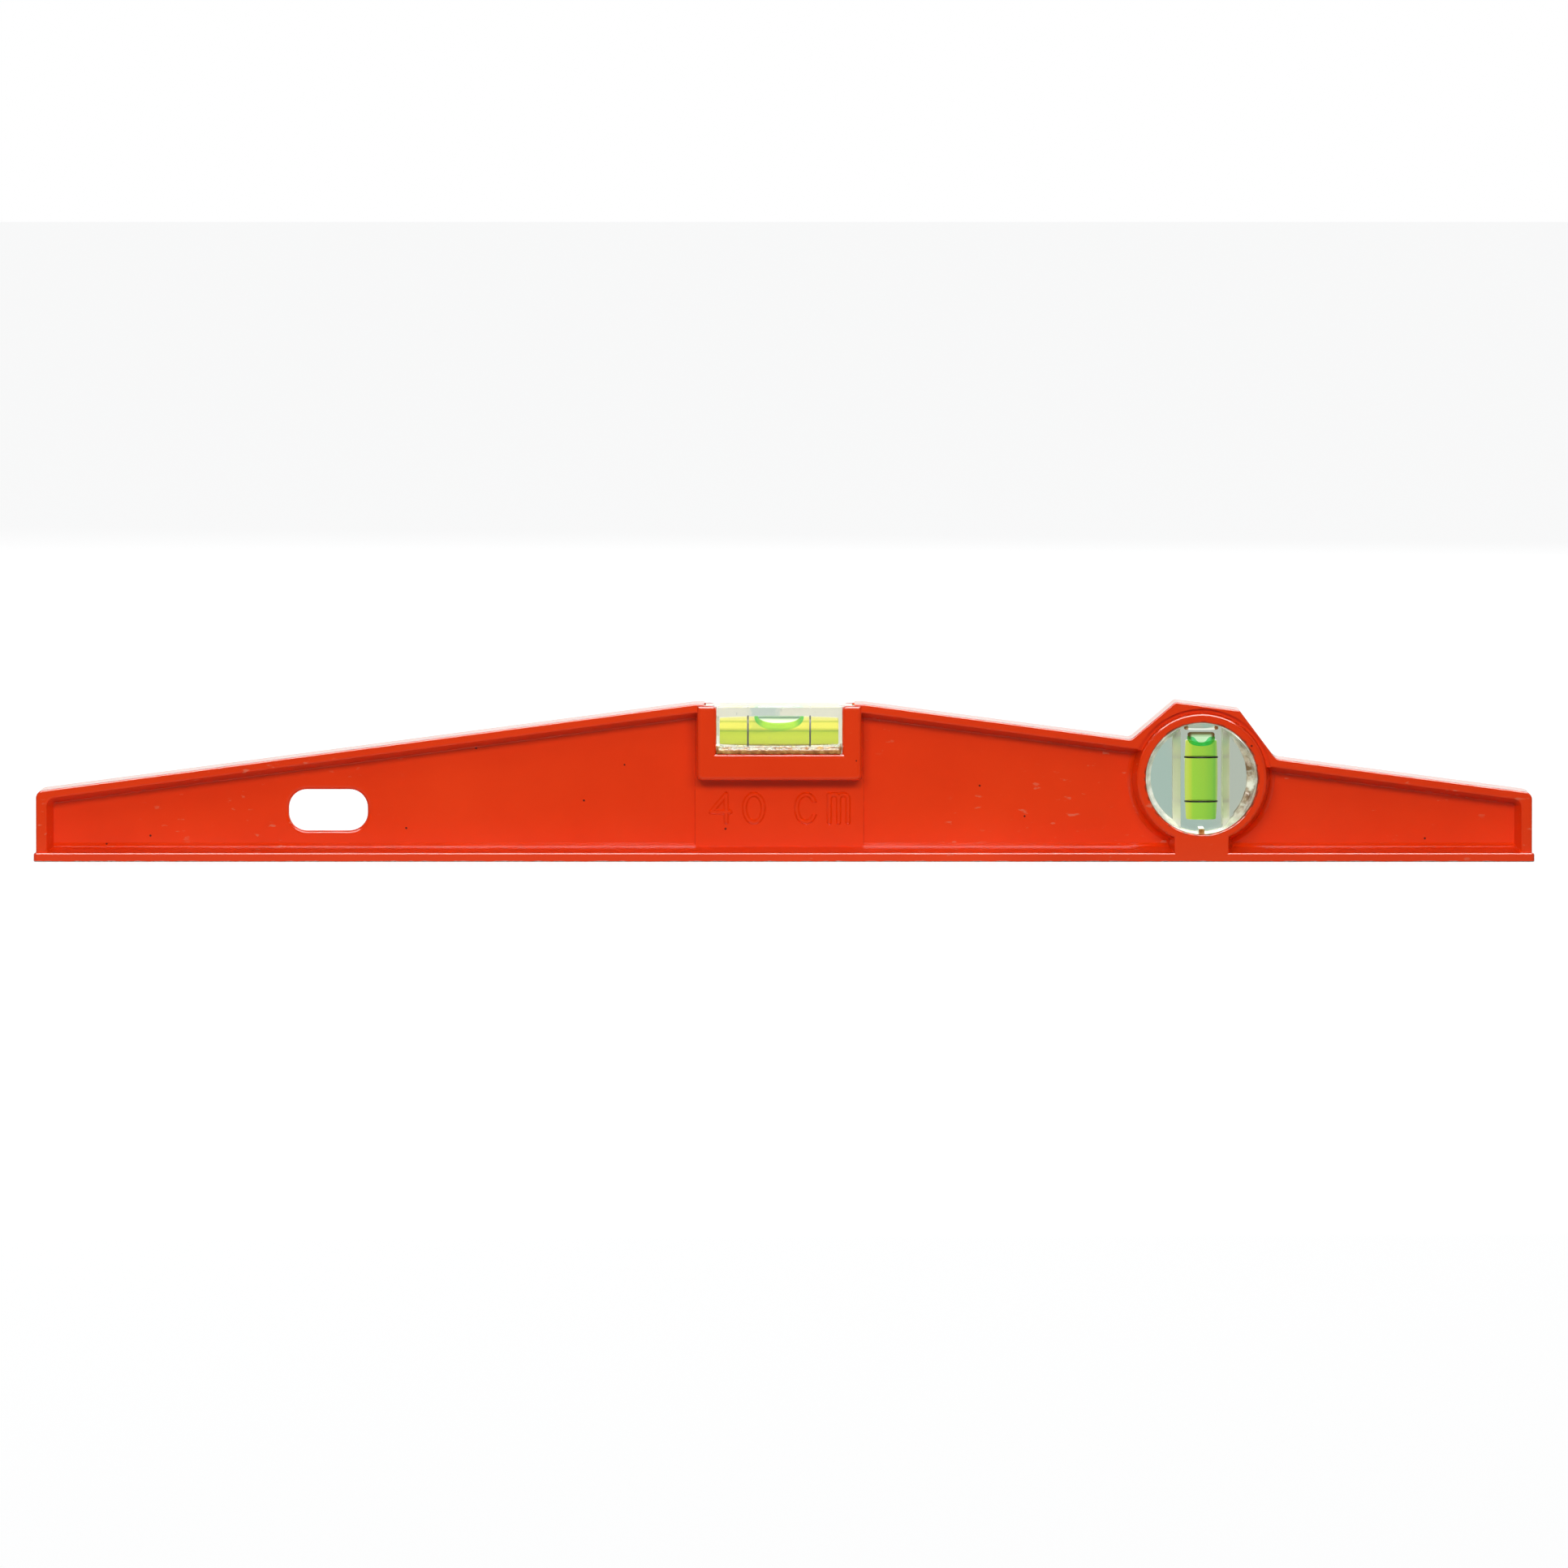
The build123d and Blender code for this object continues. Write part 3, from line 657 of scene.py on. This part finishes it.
level_half = (level_fluid_high.x - level_fluid_low.x) / 2
finish_piece(
    "level_fluid_full",
    lathe(
        barrel_profile(level_half, LEVEL_MID_R - LEVEL_FLUID_INSET, LEVEL_CURVE),
        Vector((LEVEL_X, 0, LEVEL_Z)),
        "X",
    ),
    [LEVEL_FLUID],
    BODY,
    "level_vial_fluid",
)

plumb_mid_z = (plumb_fluid_low.z + plumb_fluid_high.z) / 2
upper_low, upper_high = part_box("plumb_line_upper")
upper_offset = (upper_low.z + upper_high.z) / 2 - plumb_mid_z
PLUMB_MID_R = (upper_high.x - upper_low.x) / 2 + LINE_INSET + upper_offset**2 / (2 * PLUMB_CURVE)
plumb_half = (plumb_fluid_high.z - plumb_fluid_low.z) / 2
plumb_profile = barrel_profile(plumb_half, PLUMB_MID_R - PLUMB_FLUID_INSET, PLUMB_CURVE)
plumb_profile = [(at, radius) for at, radius in plumb_profile if at < plumb_half - PLUMB_TOP_GAP]
finish_piece(
    "plumb_fluid_full",
    lathe(plumb_profile, Vector((BOSS_X, 0, plumb_mid_z)), "Z"),
    [PLUMB_FLUID],
    BODY,
    "plumb_vial_fluid",
)

block_maker = without_bore("level_vial_block", Vector((0, 0, LEVEL_Z)), 0, LEVEL_MID_R + BORE_MARGIN)
# Slanted faces take the darker copy of the acrylic: painted shade
for face in block_maker.faces:
    slanted = 0.2 < abs(face.normal.z) < 0.9
    face.material_index = 1 if slanted else 0
finish_piece(
    "level_block_clear",
    block_maker,
    [SCUFFED, SHADED_EDGE],
    BODY,
    "level_vial_block",
)


RECESS_FLOOR_Y = 4.0 * MM
RIGHT_RIM_LEAN = 1.2 * MM


def widen_right_rim(maker):
    """The recess walls on the right lean further in than those on the left."""
    for vert in maker.verts:
        east = vert.co.x - BOSS_X
        up = vert.co.z - BOSS_Z
        radius = math.hypot(east, up)
        on_floor = abs(abs(vert.co.y) - RECESS_FLOOR_Y) < 0.2 * MM
        if east > 0.6 * DISC_R and on_floor and radius < 0.95 * DISC_R:
            lean = RIGHT_RIM_LEAN * (east / radius) ** 2
            vert.co.x -= lean * east / radius
            vert.co.z -= lean * up / radius


disc_maker = without_bore("plumb_vial_disc", Vector((BOSS_X, 0, 0)), 2, PLUMB_BORE_REACH)
widen_right_rim(disc_maker)
for face in disc_maker.faces:
    on_wall = abs(face.normal.y) < 0.97
    middle = face.calc_center_median()
    on_rib = abs(face.normal.x) > 0.8 and abs(middle.x - BOSS_X) < 0.55 * DISC_R
    face.material_index = (1 if on_rib else 2) if on_wall else 0
finish_piece(
    "plumb_disc_clear",
    disc_maker,
    [ACRYLIC, FROSTED, RIM],
    BODY,
    "plumb_vial_disc",
)


def brown_sided_plug():
    """The plumb vial's plug, clear, brown towards its two sides."""
    low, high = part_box("plumb_vial_plug")
    radius = 4.6 * MM
    bevel = 0.25 * MM
    bottom = low.z + 0.5 * MM
    profile = [
        (bottom, radius - bevel),
        (bottom + bevel, radius),
        (high.z - 0.9 * MM, radius),
        (high.z - 0.6 * MM, radius - bevel),
        (high.z - 0.1 * MM, radius - bevel),
    ]
    maker = lathe(profile, Vector((BOSS_X, 0, 0)), "Z")
    # Faces towards the two sides take the brown material
    for face in maker.faces:
        outward = abs(face.calc_center_median().x - BOSS_X) / radius
        face.material_index = 1 if outward > 0.76 else 0
    return maker


finish_piece("plumb_plug_clear", brown_sided_plug(), [PLUG, BROWN], BODY, "plumb_vial_plug")


BUBBLE_CROWN = 0.12 * MM        # least depth of the level bubble, at its two tips
BUBBLE_SAG = 0.10               # share of its half width by which its underside bellies down


def barrel_bubble(half_length, depth, inset, steps=48, around=40):
    """Air against the top of the level barrel: flat above, a half ellipse from the side."""
    maker = bmesh.new()
    top_z = LEVEL_Z + LEVEL_MID_R - inset
    rings = []
    for step in range(1, steps):
        share = math.cos(math.pi * step / steps)
        at = share * half_length
        wall = LEVEL_MID_R - inset - at**2 / (2 * LEVEL_CURVE)
        floor_z = top_z - BUBBLE_CROWN - depth * math.sqrt(1 - share**2)
        low = max(min((floor_z - LEVEL_Z) / wall, 0.995), -0.995)
        edge = math.asin(low)
        ring = []
        for turn in range(around):
            angle = edge + (math.pi - 2 * edge) * turn / (around - 1)
            ring.append(Vector((at, wall * math.cos(angle), wall * math.sin(angle))))
        half_chord = wall * math.cos(edge)
        for turn in range(1, around - 1):
            across = math.cos(math.pi * turn / (around - 1))
            sag = BUBBLE_SAG * half_chord * (1 - across**2)
            ring.append(Vector((at, -half_chord * across, wall * low - sag)))
        rings.append([maker.verts.new(Vector((LEVEL_X, 0, LEVEL_Z)) + point) for point in ring])
    for first, second in zip(rings, rings[1:]):
        for index in range(len(first)):
            after = (index + 1) % len(first)
            face = maker.faces.new((first[index], first[after], second[after], second[index]))
            face.smooth = True
    maker.faces.new(rings[0])
    maker.faces.new(rings[-1][::-1])
    bmesh.ops.recalc_face_normals(maker, faces=maker.faces)
    return maker


level_bubble_half = (level_bubble_high.x - level_bubble_low.x) / 2
bubble_depth = level_bubble_high.z - level_bubble_low.z
finish_piece(
    "level_bubble_meniscus",
    barrel_bubble(level_bubble_half, bubble_depth, LEVEL_MENISCUS_INSET),
    [LEVEL_MENISCUS],
    "level_bubble",
    "level_bubble",
)
finish_piece(
    "level_bubble_air",
    barrel_bubble(level_bubble_half * 0.85, bubble_depth * 0.50, LEVEL_AIR_INSET),
    [LEVEL_AIR],
    "level_bubble",
    None,
)


WINDOW_HALF = 16.3 * MM
BEAD_HEIGHT = 1.18 * MM
BEAD_LUMP = 0.22 * MM
BEAD_HALF_DEPTH = 0.16 * MM
BEAD_RISE = 1.2 * MM            # how much higher the bead climbs at the two ends
BEAD_RISE_FROM = 0.96           # share of the half length where that starts


def glue_bed():
    """Bed of glue under the level block, with a lumpy bead squeezed out along each face."""
    maker = bmesh.new()
    glue_low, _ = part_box("level_vial_adhesive")
    half_y = block_high.y
    steps = 160
    around = 10
    bed = bmesh.ops.create_cube(maker, size=1.0)["verts"]
    bed_top = block_low.z - 0.02 * MM
    for vert in bed:
        side = Vector((1 if vert.co.x > 0 else -1, 1 if vert.co.y > 0 else -1, 0))
        vert.co = Vector(
            (
                LEVEL_X + side.x * WINDOW_HALF,
                side.y * (half_y - 0.3 * MM),
                bed_top if vert.co.z > 0 else glue_low.z,
            )
        )
    for face_side in (-1, 1):
        rings = []
        for step in range(steps + 1):
            along = -1 + 2 * step / steps
            at = LEVEL_X + along * (WINDOW_HALF + 0.35 * MM)
            lump = mathutils_noise.noise(Vector((at * 900, face_side * 7.0, 0.5)))
            lump += 0.5 * mathutils_noise.noise(Vector((at * 2600, face_side * 3.0, 4.0)))
            height = BEAD_HEIGHT + BEAD_LUMP * lump
            if abs(along) > BEAD_RISE_FROM:
                height += (abs(along) - BEAD_RISE_FROM) / (1 - BEAD_RISE_FROM) * BEAD_RISE
            ring = []
            for turn in range(around):
                angle = 2 * math.pi * turn / around
                out = BEAD_HALF_DEPTH * (1 + 0.3 * lump) * math.cos(angle)
                rise = glue_low.z + height / 2 * (1 + math.sin(angle))
                ring.append(maker.verts.new((at, face_side * (half_y + 0.02 * MM) + out, rise)))
            rings.append(ring)
        for first, second in zip(rings, rings[1:]):
            for index in range(around):
                after = (index + 1) % around
                face = maker.faces.new((first[index], first[after], second[after], second[index]))
                face.smooth = True
        maker.faces.new(rings[0])
        maker.faces.new(rings[-1][::-1])
    bmesh.ops.recalc_face_normals(maker, faces=maker.faces)
    return maker


finish_piece("level_glue_bead", glue_bed(), [GLUE], BODY, "level_vial_adhesive")


def upright_bubble(radius, depth, top, bottom, steps=12, segments=64):
    """Air under the top of the plumb barrel: a flat cap with a round underside.

    Seen from above it is a rounded square, as deep at every height, so that its front stays
    just ahead of the fluid's.
    """
    corner = 0.45 * MM
    profile = [(top, radius - corner), (top - corner * 0.3, radius - corner * 0.3)]
    belly = top - corner - bottom
    for step in range(steps + 1):
        angle = math.pi / 2 * step / steps
        half = max(radius * math.cos(angle) ** 0.6, 0.02 * MM)
        profile.append((top - corner - belly * math.sin(angle), half))
    maker = bmesh.new()
    rings = []
    for height, half in profile:
        ring = []
        for step in range(segments):
            angle = 2 * math.pi * step / segments
            across = math.copysign(abs(math.cos(angle)) ** 0.5, math.cos(angle))
            deep = math.copysign(abs(math.sin(angle)) ** 0.5, math.sin(angle))
            ring.append(maker.verts.new((BOSS_X + half * across, depth * deep, height)))
        rings.append(ring)
    for first, second in zip(rings, rings[1:]):
        for step in range(segments):
            after = (step + 1) % segments
            face = maker.faces.new((first[step], first[after], second[after], second[step]))
            face.smooth = True
    maker.faces.new(rings[0])
    maker.faces.new(rings[-1][::-1])
    bmesh.ops.recalc_face_normals(maker, faces=maker.faces)
    return maker


PLUMB_MENISCUS_DEPTH = 4.5 * MM
PLUMB_AIR_DEPTH = 4.53 * MM     # just ahead of the meniscus
bubble_r = (plumb_bubble_high.x - plumb_bubble_low.x) / 2
bubble_top = plumb_bubble_high.z
bubble_bottom = plumb_bubble_low.z
finish_piece(
    "plumb_bubble_meniscus",
    upright_bubble(bubble_r, PLUMB_MENISCUS_DEPTH, bubble_top - 0.8 * MM, bubble_bottom),
    [PLUMB_MENISCUS],
    "plumb_bubble",
    "plumb_bubble",
)
finish_piece(
    "plumb_bubble_air",
    upright_bubble(bubble_r - 0.1 * MM, PLUMB_AIR_DEPTH, bubble_top, bubble_bottom + 1.0 * MM),
    [PLUMB_AIR],
    "plumb_bubble",
    None,
)


# ---- Stage, light and camera ------------------------------------------------------------------

def camera_ray(tree):
    return tree.nodes.new("ShaderNodeLightPath").outputs["Is Camera Ray"]


FLOOR_HALF = 15.0
FLOOR_DROP = 0.02 * MM
# Where the table's tint changes, in metres, each as the start and end of a soft edge
BEHIND_Y = (-0.25, 0.25)
FAR_SIDE_X = (0.116, 0.130)
NEAR_MIDDLE_X = (0.075, 0.055)
PATCH_X = -0.0068
PATCH_HALF = (0.0058, 0.0040)
PATCH_Y = (0.62, 0.70)


def build_floor():
    """Plain pale floor, near white to the eye.

    Every other ray meets a table in several tints instead, and those show in reflections and
    through the clear vials.
    """
    maker = bmesh.new()
    half = FLOOR_HALF
    corners = [(-half, -half), (half, -half), (half, half), (-half, half)]
    maker.faces.new([maker.verts.new((x, y, -FLOOR_DROP)) for x, y in corners])
    mesh = bpy.data.meshes.new("studio_floor")
    maker.to_mesh(mesh)
    maker.free()
    floor = bpy.data.objects.new("studio_floor", mesh)
    bpy.context.scene.collection.objects.link(floor)
    mat = bpy.data.materials.new("floor_pale")
    mat.use_nodes = True
    tree = mat.node_tree
    tree.nodes.clear()
    seen = node(tree, "BsdfDiffuse", Color=(0.35, 0.35, 0.35, 1))
    glow = node(tree, "Emission", Color=(0.80, 0.80, 0.80, 1), Strength=1.0)
    pale = tree.nodes.new("ShaderNodeAddShader")
    link(tree, seen.outputs[0], pale.inputs[0])
    link(tree, glow.outputs[0], pale.inputs[1])
    _, (x_place, y_place, _) = object_place(tree)
    behind = smooth_step(tree, y_place, *BEHIND_Y)
    far_side = smooth_step(tree, x_place, *FAR_SIDE_X)
    cool = mix_colour(tree, far_side, (0.41, 0.54, 0.47, 1), (0.48, 0.53, 0.45, 1))
    near_middle = smooth_step(tree, x_place, *NEAR_MIDDLE_X)
    off_patch = math_node(tree, "ABSOLUTE", math_node(tree, "SUBTRACT", x_place, PATCH_X))
    in_patch = math_node(
        tree,
        "MULTIPLY",
        smooth_step(tree, off_patch, *PATCH_HALF),
        smooth_step(tree, y_place, *PATCH_Y),
    )
    bright = mix_colour(tree, in_patch, (0.82, 0.82, 0.68, 1), (0.55, 0.66, 0.60, 1))
    beyond = mix_colour(tree, near_middle, cool, bright)
    shade = mix_colour(tree, behind, (0.16, 0.15, 0.15, 1), beyond)
    table = node(tree, "Emission", Strength=1.0)
    link(tree, shade, table.inputs["Color"])
    choose = tree.nodes.new("ShaderNodeMixShader")
    link(tree, camera_ray(tree), choose.inputs[0])
    link(tree, table.outputs[0], choose.inputs[1])
    link(tree, pale.outputs[0], choose.inputs[2])
    out = tree.nodes.new("ShaderNodeOutputMaterial")
    link(tree, choose.outputs[0], out.inputs["Surface"])
    floor.data.materials.append(mat)


def build_world():
    """White to the eye; in reflections white low down behind, soft above, dim in front."""
    world = bpy.data.worlds.new("studio_world")
    world.use_nodes = True
    tree = world.node_tree
    background = tree.nodes["Background"]
    axes = node(tree, "SeparateXYZ")
    link(tree, node(tree, "TexCoord").outputs["Generated"], axes.inputs[0])
    behind = smooth_step(tree, axes.outputs[1], -0.2, 0.5)
    above = smooth_step(tree, axes.outputs[2], 0.15, 0.8)
    low = mix_colour(tree, behind, (0.06, 0.06, 0.06, 1), (1.10, 1.10, 1.06, 1))
    dome = mix_colour(tree, above, low, (0.35, 0.36, 0.37, 1))
    shown = mix_colour(tree, camera_ray(tree), dome, (1.0, 1.0, 1.0, 1))
    link(tree, shown, background.inputs["Color"])
    bpy.context.scene.world = world


def area_light(name, place, aim, size, power, in_gloss=True, on_paint=True):
    data = bpy.data.lights.new(name, "AREA")
    data.shape = "RECTANGLE"
    data.size, data.size_y = size
    data.energy = power
    lamp = bpy.data.objects.new(name, data)
    bpy.context.scene.collection.objects.link(lamp)
    lamp.location = place
    lamp.rotation_euler = (Vector(aim) - Vector(place)).to_track_quat("-Z", "Y").to_euler()
    lamp.visible_camera = False
    lamp.visible_glossy = in_gloss
    lamp.visible_diffuse = on_paint


CAMERA_DISTANCE = 3.5
CAMERA_ELEVATION = math.radians(3.1)
FIELD_WIDTH = 0.4177          # width of the view at the front face
AIM = Vector((0.0, cad_low.y, 0.0208))


def build_camera():
    data = bpy.data.cameras.new("studio_camera")
    data.sensor_width = 36.0
    data.lens = data.sensor_width * CAMERA_DISTANCE / FIELD_WIDTH
    data.clip_end = 100.0
    camera = bpy.data.objects.new("studio_camera", data)
    bpy.context.scene.collection.objects.link(camera)
    away = Vector((0, -math.cos(CAMERA_ELEVATION), math.sin(CAMERA_ELEVATION)))
    camera.location = AIM + away * CAMERA_DISTANCE
    camera.rotation_euler = (-away).to_track_quat("-Z", "Y").to_euler()
    bpy.context.scene.camera = camera


bpy.context.scene.view_settings.view_transform = "Standard"
build_floor()
build_world()
build_camera()
area_light("front_softbox", (0.03, -1.0, 0.38), (0.01, 0, 0.02), (0.8, 0.22), 7.9, in_gloss=False)
area_light("key_softbox", (-0.6, -1.5, 1.4), (0, 0, 0.02), (1.2, 0.7), 4)
area_light("top_softbox", (0.0, -0.45, 1.2), (0, -0.2, 0.0), (1.8, 1.1), 95, on_paint=False)
area_light("back_softbox", (0.5, 1.8, 1.0), (0, 0, 0.02), (1.6, 0.8), 16)
